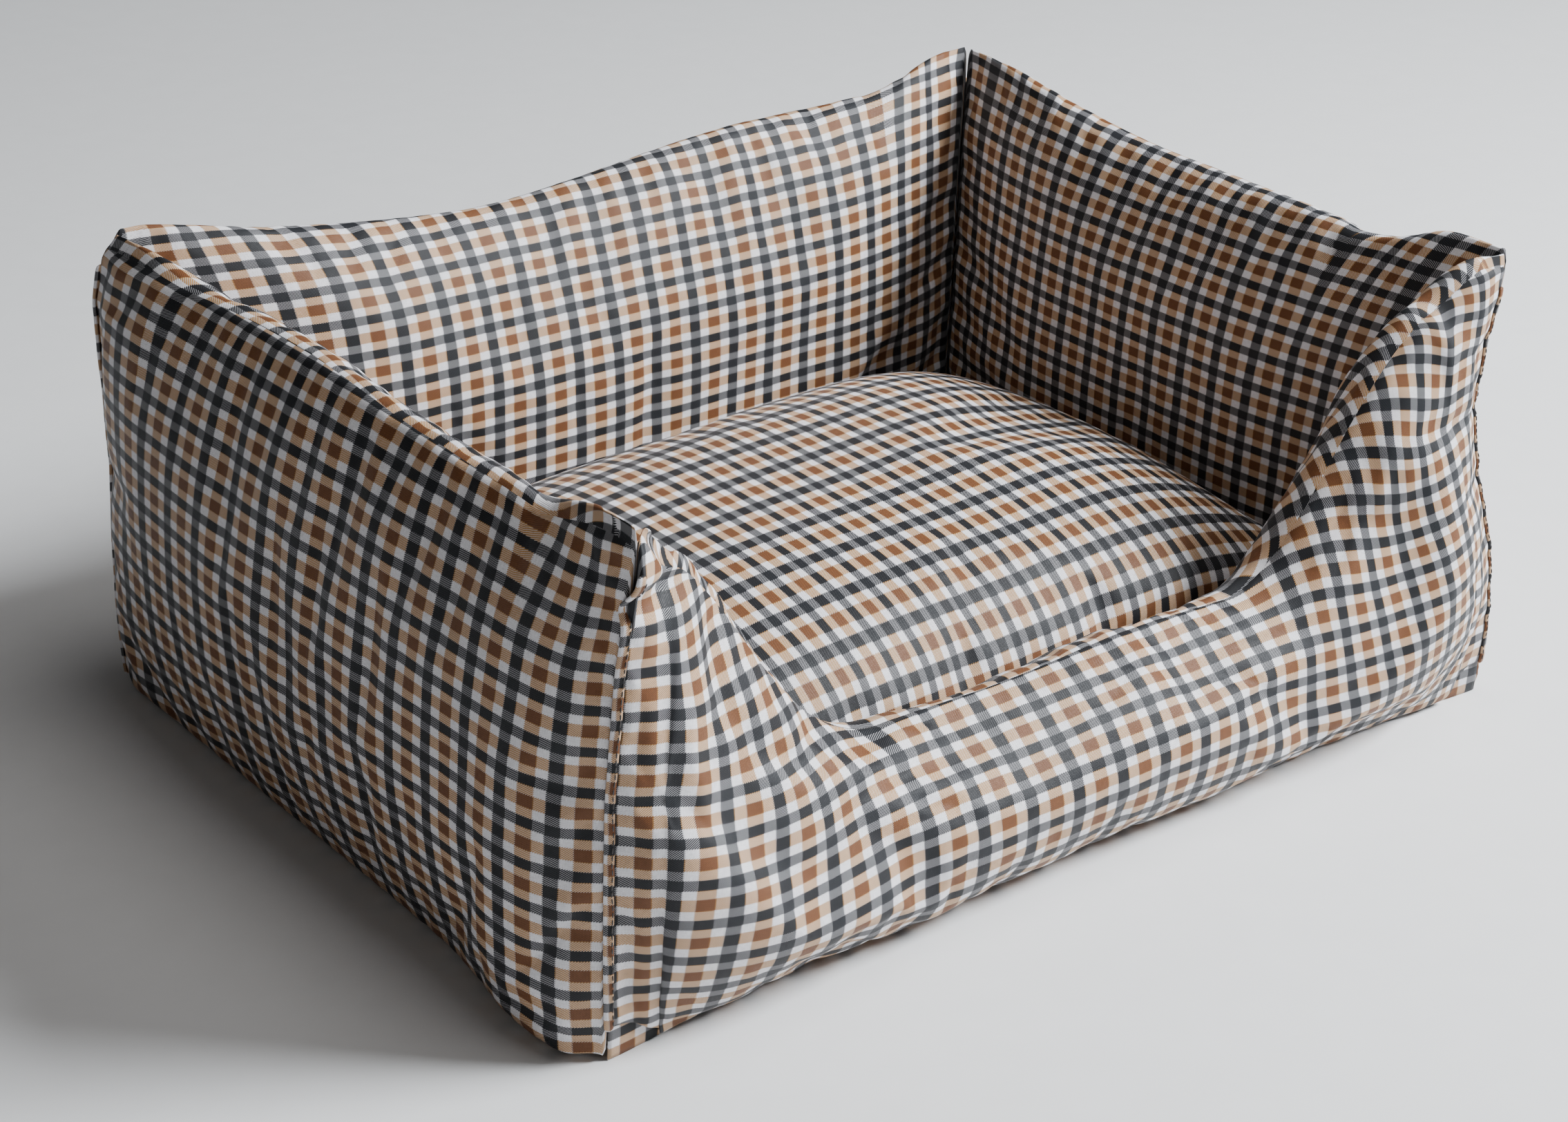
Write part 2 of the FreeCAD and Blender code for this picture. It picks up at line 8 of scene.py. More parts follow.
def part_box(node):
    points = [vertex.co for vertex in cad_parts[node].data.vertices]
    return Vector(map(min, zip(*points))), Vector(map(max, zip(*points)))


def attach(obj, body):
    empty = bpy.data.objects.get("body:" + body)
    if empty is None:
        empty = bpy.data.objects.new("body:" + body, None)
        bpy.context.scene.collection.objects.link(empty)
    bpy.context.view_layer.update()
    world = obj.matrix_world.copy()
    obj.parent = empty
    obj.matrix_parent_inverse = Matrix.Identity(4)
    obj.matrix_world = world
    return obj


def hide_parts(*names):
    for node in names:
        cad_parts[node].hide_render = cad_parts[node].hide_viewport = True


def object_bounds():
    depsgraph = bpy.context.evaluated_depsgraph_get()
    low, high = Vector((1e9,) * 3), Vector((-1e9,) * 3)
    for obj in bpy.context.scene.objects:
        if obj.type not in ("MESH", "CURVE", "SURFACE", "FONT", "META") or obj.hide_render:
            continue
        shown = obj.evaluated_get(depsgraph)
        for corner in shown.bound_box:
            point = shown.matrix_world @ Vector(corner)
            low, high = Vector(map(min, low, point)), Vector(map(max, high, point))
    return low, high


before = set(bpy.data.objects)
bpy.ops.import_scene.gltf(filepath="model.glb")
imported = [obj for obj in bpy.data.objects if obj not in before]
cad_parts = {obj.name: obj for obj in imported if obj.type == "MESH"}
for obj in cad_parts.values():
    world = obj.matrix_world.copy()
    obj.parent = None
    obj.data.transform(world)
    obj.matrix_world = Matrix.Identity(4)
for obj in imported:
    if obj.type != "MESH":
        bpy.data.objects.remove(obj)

CAD_BOX = [list(corner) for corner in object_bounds()]
MM = 0.001
HALF_LENGTH, HALF_WIDTH, _ = CAD_BOX[1]

# ---------------------------------------------------------------- small helpers


def smooth(x):
    x = np.clip(x, 0.0, 1.0)
    return x * x * (3 - 2 * x)


def hump(x, centre, reach):
    return np.exp(-(((x - centre) / reach) ** 2))


def mix(a, b, share):
    return a + (b - a) * share


def blurred(grid, reach):
    """A grid of vectors smoothed along both its directions, with its edges held."""
    span = np.arange(-3 * reach, 3 * reach + 1)
    weights = np.exp(-0.5 * (span / reach) ** 2)
    weights /= weights.sum()
    out = grid
    for axis in (0, 1):
        pad = [(0, 0)] * grid.ndim
        pad[axis] = (3 * reach, 3 * reach)
        wide = np.pad(out, pad, mode="edge")
        count = out.shape[axis]
        out = sum(
            w * np.take(wide, range(i, i + count), axis=axis) for i, w in enumerate(weights)
        )
    return out


# ---------------------------------------------------------------- materials


class Nodes:
    """Builds a material's node tree with short calls."""

    def __init__(self, name):
        self.material = bpy.data.materials.new(name)
        self.material.use_nodes = True
        self.tree = self.material.node_tree
        self.tree.nodes.clear()
        self.shader = self.tree.nodes.new("ShaderNodeBsdfPrincipled")
        out = self.tree.nodes.new("ShaderNodeOutputMaterial")
        self.tree.links.new(self.shader.outputs[0], out.inputs[0])

    def put(self, socket, value):
        if isinstance(value, bpy.types.NodeSocket):
            self.tree.links.new(value, socket)
        else:
            socket.default_value = value

    def math(self, operation, a, b=0.0, c=0.0):
        node = self.tree.nodes.new("ShaderNodeMath")
        node.operation = operation
        for socket, value in zip(node.inputs, (a, b, c)):
            self.put(socket, value)
        return node.outputs[0]

    def blend(self, share, a, b, way="MIX"):
        node = self.tree.nodes.new("ShaderNodeMix")
        node.data_type = "RGBA"
        node.blend_type = way
        self.put(node.inputs[0], share)
        self.put(node.inputs[6], a)
        self.put(node.inputs[7], b)
        return node.outputs[2]

    def noise(self, vector, scale, detail=2.0, rough=0.5):
        node = self.tree.nodes.new("ShaderNodeTexNoise")
        self.put(node.inputs["Vector"], vector)
        node.inputs["Scale"].default_value = scale
        node.inputs["Detail"].default_value = detail
        node.inputs["Roughness"].default_value = rough
        return node.outputs[0]

    def span(self, value, low, high, to_low, to_high):
        node = self.tree.nodes.new("ShaderNodeMapRange")
        node.clamp = True
        for socket, number in zip(node.inputs, (value, low, high, to_low, to_high)):
            self.put(socket, number)
        return node.outputs[0]

    def vector(self, x, y, z=0.0):
        node = self.tree.nodes.new("ShaderNodeCombineXYZ")
        for socket, value in zip(node.inputs, (x, y, z)):
            self.put(socket, value)
        return node.outputs[0]

    def parts(self, vector):
        node = self.tree.nodes.new("ShaderNodeSeparateXYZ")
        self.put(node.inputs[0], vector)
        return node.outputs

    def uv(self, name):
        node = self.tree.nodes.new("ShaderNodeUVMap")
        node.uv_map = name
        return node.outputs[0]

    def place(self):
        return self.tree.nodes.new("ShaderNodeTexCoord").outputs["Object"]

    def bump(self, height, strength, distance):
        node = self.tree.nodes.new("ShaderNodeBump")
        node.inputs["Strength"].default_value = strength
        node.inputs["Distance"].default_value = distance
        self.put(node.inputs["Height"], height)
        self.put(self.shader.inputs["Normal"], node.outputs[0])

    def set(self, **values):
        for name, value in values.items():
            self.put(self.shader.inputs[name.replace("_", " ")], value)


CLOTH_UV = "cloth"
STRIPE_LONG = 7.25 * MM
STRIPE_SHORT = 4.85 * MM
TWILL_PITCH = 1.2 * MM
TWILL_SLOPE = 0.78
TWILL_JAG = 0.05
STRIPE_DRIFT = 0.0012
YARN_SCALE = 2600.0
YARN_STRETCH = 0.12
WEAVE_PITCH = 0.9 * MM
WHITE = (0.79, 0.775, 0.80, 1)
TAN = (0.42, 0.215, 0.06, 1)
RUST = (0.13, 0.048, 0.018, 1)
BROWN = (0.22, 0.09, 0.03, 1)
DARK = (0.006, 0.0075, 0.0105, 1)
# Half the width of a tan and of a dark stripe, as a share of the spacing.
TAN_REACH = 0.6
DARK_REACH = 0.54


def check_cloth(name, stripe_u, stripe_v):
    """A twill check of white, tan, white and black stripes each way. A colour over white shows as
    the twill's slanting lines, tan over tan as rust, and black covers tan."""
    n = Nodes(name)
    u, v, _ = n.parts(n.uv(CLOTH_UV))
    cloth = n.vector(u, v)
    drift = n.math("SUBTRACT", n.noise(cloth, 28.0, 1.0), 0.5)
    u = n.math("ADD", u, n.math("MULTIPLY", drift, STRIPE_DRIFT))
    phase = n.math("DIVIDE", n.math("SUBTRACT", v, n.math("MULTIPLY", u, TWILL_SLOPE)),
                   TWILL_PITCH * TWILL_SLOPE)
    wave = n.math("SINE", n.math("MULTIPLY", phase, 2 * math.pi))
    jag = n.math("MULTIPLY", wave, TWILL_JAG)
    along = n.math("ADD", n.math("DIVIDE", u, stripe_u), jag)
    across = n.math("SUBTRACT", n.math("DIVIDE", v, stripe_v), jag)
    tans = []
    darks = []
    for place in (along, across):
        cycle = n.math("FLOORED_MODULO", place, 4.0)
        tans.append(n.math("COMPARE", cycle, 1.5, TAN_REACH))
        darks.append(n.math("COMPARE", cycle, 3.5, DARK_REACH))
    tan_line = n.span(wave, -0.7, 0.3, 0.55, 1.0)
    dark_line = n.span(wave, -0.8, 0.1, 0.58, 1.0)
    some_tan = n.math("MAXIMUM", tans[0], tans[1])
    some_dark = n.math("MAXIMUM", darks[0], darks[1])
    both_tan = n.math("MULTIPLY", tans[0], tans[1])
    coloured = n.math("MAXIMUM", some_tan, n.math("MULTIPLY", darks[0], darks[1]))
    solid_dark = n.math("MULTIPLY", some_dark, coloured)
    woven = n.blend(n.math("MULTIPLY", some_tan, tan_line), WHITE, TAN)
    woven = n.blend(both_tan, woven, n.blend(tan_line, BROWN, RUST))
    woven = n.blend(n.math("MULTIPLY", some_dark, dark_line), woven, DARK)
    woven = n.blend(n.math("MULTIPLY", solid_dark, 0.94), woven, DARK)
    yarn = n.noise(n.vector(n.math("MULTIPLY", u, YARN_STRETCH), v), YARN_SCALE, 2.0)
    other = n.noise(n.vector(u, n.math("MULTIPLY", v, YARN_STRETCH)), YARN_SCALE, 2.0)
    threads = n.math("ADD", yarn, other)
    shade = n.math("MULTIPLY", n.span(threads, 0.7, 1.3, 0.84, 1.12),
                   n.span(n.noise(cloth, 9.0, 3.0), 0.3, 0.7, 0.94, 1.04))
    n.set(Base_Color=n.blend(1.0, woven, n.vector(shade, shade, shade), "MULTIPLY"))
    n.set(Roughness=n.span(threads, 0.7, 1.3, 0.6, 0.46))
    n.set(Sheen_Weight=0.04, Sheen_Roughness=0.45, Specular_IOR_Level=0.25)
    rib = n.math("ADD", n.math("MULTIPLY", wave, 0.5), threads)
    n.bump(rib, 0.35, 0.00022)
    return n.material


def thread_cloth(name, colour):
    """Sewing thread: two plies twisted together."""
    n = Nodes(name)
    x, y, z = n.parts(n.place())
    twist = n.math("SINE", n.math("MULTIPLY", n.math("ADD", n.math("ADD", x, y), z), 9000.0))
    fuzz = n.noise(n.place(), 1800.0)
    n.set(Base_Color=n.blend(n.span(fuzz, 0.3, 0.7, 0.0, 1.0), colour,
                             tuple(c * 1.8 for c in colour[:3]) + (1,)))
    n.set(Roughness=n.span(fuzz, 0.3, 0.7, 0.55, 0.75), Sheen_Weight=0.3)
    n.bump(twist, 0.4, 0.0001)
    return n.material


def plain_weave(name, colour):
    """A plain weave of one colour, for tapes and linings, by object position."""
    n = Nodes(name)
    x, y, z = n.parts(n.place())
    turn = 2 * math.pi / WEAVE_PITCH
    a = n.math("SINE", n.math("MULTIPLY", x, turn))
    b = n.math("SINE", n.math("MULTIPLY", n.math("ADD", y, z), turn))
    weave = n.math("MULTIPLY", a, b)
    fuzz = n.noise(n.place(), 900.0, 3.0)
    share = n.span(n.math("ADD", weave, fuzz), -0.5, 1.5, 0.0, 1.0)
    dark = tuple(c * 0.62 for c in colour[:3]) + (1,)
    n.set(Base_Color=n.blend(share, dark, colour), Roughness=n.span(fuzz, 0.3, 0.7, 0.7, 0.85))
    n.set(Sheen_Weight=0.2)
    n.bump(n.math("ADD", weave, fuzz), 0.5, 0.00015)
    return n.material


def moulded(name, colour):
    """Moulded zip teeth: satin plastic with a faint grain."""
    n = Nodes(name)
    grain = n.noise(n.place(), 2200.0, 3.0)
    light = tuple(min(1.0, c * 1.7 + 0.01) for c in colour[:3]) + (1,)
    n.set(Base_Color=n.blend(n.span(grain, 0.35, 0.65, 0.0, 1.0), colour, light))
    n.set(Roughness=n.span(grain, 0.3, 0.7, 0.3, 0.45))
    n.bump(grain, 0.2, 0.00005)
    return n.material


def worn_metal(name, colour):
    """Plated zip metal, brushed, with duller worn patches."""
    n = Nodes(name)
    x, y, z = n.parts(n.place())
    brush = n.noise(n.vector(x, n.math("MULTIPLY", y, 22.0), n.math("MULTIPLY", z, 22.0)), 260.0)
    worn = n.noise(n.place(), 420.0, 3.0)
    dull = tuple(c * 0.5 for c in colour[:3]) + (1,)
    n.set(Base_Color=n.blend(n.span(worn, 0.42, 0.68, 0.0, 0.8), colour, dull), Metallic=1.0)
    n.set(Roughness=n.span(n.math("ADD", brush, worn), 0.7, 1.3, 0.24, 0.46))
    n.bump(brush, 0.15, 0.00004)
    return n.material


WALL_CLOTH = check_cloth("wall_check", STRIPE_LONG, STRIPE_SHORT)
CUSHION_CLOTH = check_cloth("cushion_check", STRIPE_SHORT, STRIPE_LONG)
THREAD = thread_cloth("dark_thread", (0.02, 0.016, 0.014, 1))

# ---------------------------------------------------------------- building meshes


def new_piece(name, points, faces, uvs, material):
    """A mesh piece from points, faces and one cloth coordinate for each face corner."""
    mesh = bpy.data.meshes.new(name)
    mesh.from_pydata(points.tolist() if hasattr(points, "tolist") else points, [], faces)
    layer = mesh.uv_layers.new(name=CLOTH_UV)
    layer.data.foreach_set("uv", np.asarray(uvs, dtype=np.float32).ravel())
    mesh.polygons.foreach_set("use_smooth", [True] * len(mesh.polygons))
    mesh.materials.append(material)
    mesh.update()
    piece = bpy.data.objects.new(name, mesh)
    bpy.context.scene.collection.objects.link(piece)
    return piece


def subdivide(piece):
    made = piece.modifiers.new("fine", "SUBSURF")
    made.levels = made.render_levels = 1


def arc_lengths(points):
    """Distance along each row of a grid of points, from its first."""
    steps = np.linalg.norm(np.diff(points, axis=1), axis=2)
    return np.concatenate([np.zeros((len(points), 1)), np.cumsum(steps, axis=1)], axis=1)


def bezier(corners, shares):
    """Points along a cubic curve for each station: corners is stations x 4 x 3."""
    t = shares[None, :, None]
    a, b, c, d = (corners[:, None, i, :] for i in range(4))
    return a * (1 - t) ** 3 + b * 3 * t * (1 - t) ** 2 + c * 3 * t * t * (1 - t) + d * t ** 3


def evenly(corners, count):
    """A cubic curve for each station, cut into equal lengths."""
    fine = bezier(corners, np.linspace(0, 1, 121))
    lengths = arc_lengths(fine)
    rows = []
    for line, length in zip(fine, lengths):
        wanted = np.linspace(0, length[-1], count + 1)
        rows.append(np.stack([np.interp(wanted, length, line[:, i]) for i in range(3)], axis=1))
    return np.array(rows)


# ---------------------------------------------------------------- walls

# Rows of points round a wall: up its outer panel, down its inner panel and back under its foot.
OUTER_ROWS = 60
INNER_ROWS = 60
FOOT_ROWS = 8
SEAM_ROW = OUTER_ROWS - 2
BELLY_ROW = 24
COLUMN = 4.0 * MM
FOOT_HEIGHT = 2.2 * MM
CORNER_GAP = -0.9 * MM
TIP = 0.2545
CREST_TURN = 0.085
# Where the corner seams lean away from a straight line between foot and tip: height, and the
# shifts along X and Y, in millimetres.
LEANS = {
    (-1, -1): [(0, 0, 0), (130, 0, 1), (190, 0, -4), (225, 0, -12), (258, 2, -23)],
    (1, -1): [(0, 0, 0), (90, -5, 3), (130, -12, 8), (170, -14, 10), (205, -8, 5), (258, 5, -6)],
    (-1, 1): [(0, 0, 0), (125, -3, 3), (170, -7, 7), (215, -12, 12), (240, -12, 12), (258, -8, 8)],
    (1, 1): [(0, 0, 0), (200, 2, 2), (258, 7, 7)],
}
LEAN_REACH = 0.07
LEAN_FULL = 0.03
# Measures of a wall's section in millimetres: at a pinched corner, where the wall is full and
# high, and where it is full and low.
SECTION = {
    "foot_out": (14, 13, 22),
    "foot_in": (60, 62, 62),
    "crest_at": (30, 38, 50),
    "bulge_out": (4, 26, 48),
    "bulge_in": (6, 25, 24),
    "shoulder_out": (5, 43, 50),
    "shoulder_in": (5, 32, 28),
}
MITRE_REACH = 0.19


def lean_corners(points):
    """Moves the parts of a wall near an outer corner with that corner's seam."""
    moved = points.copy()
    for (x_way, y_way), leans in LEANS.items():
        along_front = 2.3 if (x_way, y_way) == (-1, -1) else 1.0
        gap = np.hypot((points[..., 0] - x_way * HALF_LENGTH) * along_front,
                       points[..., 1] - y_way * HALF_WIDTH)
        share = np.exp(-((np.clip(gap - LEAN_FULL, 0, None) / LEAN_REACH) ** 2))
        heights, along, across = (np.array(column) * MM for column in zip(*leans))
        moved[..., 0] += np.interp(points[..., 2], heights, along) * share
        moved[..., 1] += np.interp(points[..., 2], heights, across) * share
    return moved


def fullness_at(station, half, zone, power):
    """0 at a corner, where the wall is pinched, to 1 where it is full."""
    gap = np.clip((half - np.abs(station)) / zone, 0, 1)
    return 1 - (1 - gap) ** power


def front_height(x):
    """The front wall's crest: corner tips, a steep dip on each side and a low roll between."""
    left = x < 0
    dip_at = np.where(left, 0.27, 0.252)
    dip = smooth(np.clip((dip_at - np.abs(x)) / (dip_at - 0.113), 0, 1) ** 0.75)
    shoulder_at = np.where(left, 0.303, 0.283)
    shoulder = mix(TIP, np.where(left, 0.226, 0.231), smooth((shoulder_at - np.abs(x)) / 0.034))
    return mix(shoulder, 0.0965, dip) + 0.0015 * np.sin(x * 38)


def right_height(y):
    """The right wall's crest, which rises towards both corners and dips beside the front one."""
    return (0.242 + 0.013 * smooth((y - 0.015) / 0.185) + 0.013 * smooth((-0.14 - y) / 0.06)
            - 0.003 * hump(y, -0.128, 0.014))


def back_height(station):
    """The back wall's crest, a long hollow whose lowest point is left of the middle."""
    x = -station
    left = 0.228 + 0.026 * np.clip((-0.075 - x) / 0.205, 0, 1.05) ** 1.3
    right = 0.228 + 0.015 * smooth((x + 0.075) / 0.19) + 0.013 * smooth((x - 0.205) / 0.08)
    return np.where(x < -0.075, left, right)


def left_height(station):
    """The left wall's crest, nearly level between its two corners."""
    y = -station
    return (0.241 + 0.006 * smooth((y + 0.06) / 0.1) + 0.007 * smooth((y - 0.14) / 0.08)
            + 0.014 * smooth((-0.155 - y) / 0.06))


def wall_corners(front, half, width, height_of, spread):
    """For each station along a wall, the corners of the outer and inner panels' curves."""
    x = np.linspace(-half, half, int(round(2 * half / COLUMN)) + 1)
    crest = height_of(x)
    full = fullness_at(x, half, 0.125, 2.3) if front else fullness_at(x, half, 0.17, 1.8)
    low = np.clip((0.25 - crest) / 0.15, 0, 1) if front else np.zeros_like(x)
    step = 1e-4
    slope = np.arctan((height_of(x + step) - height_of(x - step)) / (2 * step))
    settle = smooth((half - 0.012 - np.abs(x)) / 0.06)
    shift = np.sin(slope) * 0.03 * settle if front else np.zeros_like(x)
    fan = np.clip((np.abs(x) - (half - MITRE_REACH)) / MITRE_REACH, 0, 1) ** 1.3
    lift = 0.015 * smooth((np.abs(x) - (half - 0.05)) / 0.042) if front else 0.0

    def corner(station, set_in, z):
        spot = station - np.sign(station) * fan * (set_in + CORNER_GAP)
        return np.stack([spot, -width + set_in, z], axis=1)

    size = {
        name: mix(pinched, mix(high, small, low), full) * MM
        for name, (pinched, high, small) in SECTION.items()
    }
    foot_out, foot_in, crest_at = size["foot_out"], size["foot_in"], size["crest_at"]
    if spread:
        near_corner = smooth((half - np.abs(x)) / 0.03)
        foot_out = foot_out - (0.005 + 0.011 * hump(x, half - 0.055, 0.05)) * near_corner
    bulge_out = size["bulge_out"]
    if front:
        bulge_out = bulge_out + 0.016 * hump(np.abs(x), 0.205, 0.06)
    drop = mix(14, 0, smooth(full * 1.6)) * MM
    foot = np.full_like(x, FOOT_HEIGHT)
    belly = foot + crest * mix(0.3, 0.2, low)
    outer = [
        corner(x + shift, foot_out, foot + lift),
        corner(x + shift * 0.9, foot_out - bulge_out, belly),
        corner(x + shift * 0.15, crest_at - size["shoulder_out"], crest - drop),
        corner(x, crest_at, crest),
    ]
    inner = [
        corner(x, crest_at, crest),
        corner(x + shift * 0.15, crest_at + size["shoulder_in"], crest - drop),
        corner(x + shift * 0.9, foot_in + size["bulge_in"], belly),
        corner(x + shift, foot_in, foot),
    ]
    return np.stack(outer, axis=1), np.stack(inner, axis=1), slope * settle, foot + lift


def flat_cloth(points, slope, height, gather):
    """Where each point of a panel lies on the cloth before sewing, from its foot upwards. Towards
    a sloping crest the panel's lines turn until they meet it squarely."""
    lengths = arc_lengths(points)
    start = arc_lengths(points[None, :, BELLY_ROW])[0]
    start = start - start[len(start) // 2]
    start = start * (gather[0] + gather[1] * start)
    to_crest = lengths[:, -1:] - lengths
    turn = slope[:, None] * smooth((CREST_TURN - to_crest) / (CREST_TURN * 0.7))
    steps = np.diff(lengths, axis=1)
    middle = (turn[:, 1:] + turn[:, :-1]) / 2
    zero = np.zeros((len(points), 1))
    across = np.concatenate([zero, np.cumsum(steps * np.cos(middle), axis=1)], axis=1)
    along = np.concatenate([zero, np.cumsum(steps * np.sin(middle), axis=1)], axis=1)
    drift = points[:, :1, 0] - points[:, :, 0]
    level = np.abs(slope[:, None]) < 1e-3
    bend = np.where(level, 0.0, mix(drift, along, 0.8))
    up = (height[:, None] + across) * mix(1.0, gather[0], 0.5)
    return np.stack([start[:, None] - bend, up], axis=2)


def wall_grid(front, half, width, height_of, gathers, spread):
    """The wall as a ring of rows at each station, and the cloth coordinates of its three panels.
    The seam between the outer and the inner panel lies just outside the crest."""
    outer, inner, slope, height = wall_corners(front, half, width, height_of, spread)
    outer = evenly(outer, OUTER_ROWS)
    inner = evenly(inner, INNER_ROWS)
    share = np.linspace(0, 1, FOOT_ROWS + 1)[None, :, None]
    foot = inner[:, -1:] * (1 - share) + outer[:, :1] * share
    points = np.concatenate([outer, inner[:, 1:], foot[:, 1:-1]], axis=1)
    last = OUTER_ROWS + INNER_ROWS
    inside = points[:, last:SEAM_ROW - 1:-1]
    outer_cloth = flat_cloth(points[:, :SEAM_ROW + 1], slope, height, gathers[0])
    inner_cloth = flat_cloth(inside, slope, height, gathers[1])[:, ::-1] + (0.011, 0.0065)
    panels = [
        (0, outer_cloth),
        (SEAM_ROW, inner_cloth),
        (last, foot[:, :, :2]),
    ]
    return points, panels


def ring_faces(columns, ring, panels):
    """Faces and cloth coordinates of a closed ring of rows."""
    faces = []
    uvs = []
    for start, cloth in panels:
        for k in range(columns - 1):
            for j in range(cloth.shape[1] - 1):
                here = k * ring + start + j
                beyond = k * ring + (start + j + 1) % ring
                faces.append((here, here + ring, beyond + ring, beyond))
                uvs += [cloth[k, j], cloth[k + 1, j], cloth[k + 1, j + 1], cloth[k, j + 1]]
    return faces, uvs


def sewn_rows(ring):
    """The rows of a wall that its seams hold: both feet and the seam beside the crest."""
    last = OUTER_ROWS + INNER_ROWS
    return [0, SEAM_ROW] + list(range(last, ring))


def plan_wall(name, front, half, width, turn, height_of, gathers, spread=False):
    """The wall's shape before it is filled, as a grid in the row frame. Each gather says how much
    more cloth than length a panel holds, and how that grows along the wall: outer, then inner."""
    points, panels = wall_grid(front, half, width, height_of, gathers, spread)
    rotation = np.array(Matrix.Rotation(math.radians(turn), 3, "Z"))
    return {"name": name, "shape": lean_corners(points @ rotation.T), "panels": panels}


SEAM_DEPTH = 1.6 * MM
FOLD_HEIGHT = 0.219
FLAP_RISE = 0.014


def fold_tip(shape):
    """The deep fold across the front wall just below its left tip, with a puffed flap above it."""
    x, z = shape[..., 0], shape[..., 2]
    share = smooth((0.075 - (x + 0.29)) / 0.04) * smooth((x + 0.294) / 0.012)
    share[:, SEAM_ROW:] = 0
    fold = 0.0055 * hump(z, FOLD_HEIGHT, 0.0045) - 0.005 * hump(z, FOLD_HEIGHT + FLAP_RISE, 0.009)
    shape[..., 1] += share * fold


def finish_wall(plan, shape):
    """Draws in the seam beside the crest, closes the ends and makes the wall's mesh."""
    columns, ring, _ = shape.shape
    inward = shape.mean(axis=1) - shape[:, SEAM_ROW]
    inward /= np.linalg.norm(inward, axis=1, keepdims=True)
    shape[1:-1, SEAM_ROW] += inward[1:-1] * SEAM_DEPTH
    faces, uvs = ring_faces(columns, ring, plan["panels"])
    for k, order in ((0, range(ring)), (columns - 1, range(ring)[::-1])):
        faces.append(tuple(k * ring + j for j in order))
        uvs += [shape[k, j, 1:] for j in order]
    piece = new_piece(plan["name"], shape.reshape(-1, 3), faces, uvs, WALL_CLOTH)
    subdivide(piece)
    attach(piece, "bed")
    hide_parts(plan["name"] + "_cover", plan["name"] + "_filling")


# ---------------------------------------------------------------- filling the cloth by simulation

PRESSURE = 4.0
FRAMES = 20
SWELL_SHARE = 0.2
WRINKLE_REACH = 7
# How much larger the cloth grows, the gain on its wrinkles and the most it may move.
WALL_GROWTH, WALL_GAIN, WALL_CAP = 0.03, 0.65, 0.01
CUSHION_GROWTH, CUSHION_GAIN, CUSHION_CAP = 0.025, 0.8, 0.012


def filled(shape, faces, held, growth):
    """Sets up cloth to be blown up with its held points fixed, and returns the trial object, whose
    points are collected once the frames have run.
    """
    mesh = bpy.data.meshes.new("trial")
    mesh.from_pydata(shape.reshape(-1, 3).tolist(), [], faces)
    trial = bpy.data.objects.new("trial", mesh)
    bpy.context.scene.collection.objects.link(trial)
    group = trial.vertex_groups.new(name="held")
    group.add([int(i) for i in held], 1.0, "REPLACE")
    cloth = trial.modifiers.new("cloth", "CLOTH")
    settings = cloth.settings
    settings.quality = 5
    settings.mass = 0.3
    settings.air_damping = 2.0
    settings.tension_stiffness = 25
    settings.compression_stiffness = 25
    settings.shear_stiffness = 8
    settings.bending_stiffness = 0.6
    settings.vertex_group_mass = "held"
    settings.pin_stiffness = 1.0
    settings.use_pressure = True
    settings.uniform_pressure_force = PRESSURE
    settings.shrink_min = -growth
    settings.effector_weights.gravity = 0.0
    cloth.collision_settings.use_collision = False
    cloth.collision_settings.use_self_collision = False
    cloth.point_cache.frame_start = 1
    cloth.point_cache.frame_end = FRAMES
    return trial


def run_frames():
    for number in range(1, FRAMES + 1):
        bpy.context.scene.frame_set(number)


def collect(trial, shape):
    """The points of a trial cloth, which is then thrown away."""
    graph = bpy.context.evaluated_depsgraph_get()
    done = trial.evaluated_get(graph).to_mesh()
    flat = np.empty(len(done.vertices) * 3, dtype=np.float64)
    done.vertices.foreach_get("co", flat)
    bpy.data.objects.remove(trial)
    return flat.reshape(shape.shape)


def wrinkled(shape, blown, gain, cap):
    """The planned shape with the simulated cloth's wrinkles and a share of its overall swell."""
    moved = blown - shape
    broad = blurred(moved, WRINKLE_REACH)
    change = broad * SWELL_SHARE + (moved - broad) * gain
    size = np.linalg.norm(change, axis=2, keepdims=True)
    return shape + change * np.minimum(1.0, cap / np.maximum(size, 1e-9))


# ---------------------------------------------------------------- cushion

CUSHION_ROWS = 90
CUSHION_COLUMNS = 130
CUSHION_HALF_LENGTH = 0.2315
CUSHION_HALF_WIDTH = 0.1545
SEAM_HEIGHT = 0.038
SIDE_HEIGHT = 0.07
CROWN = 0.046
UNDERSIDE = 0.0122
EDGE = 0.86


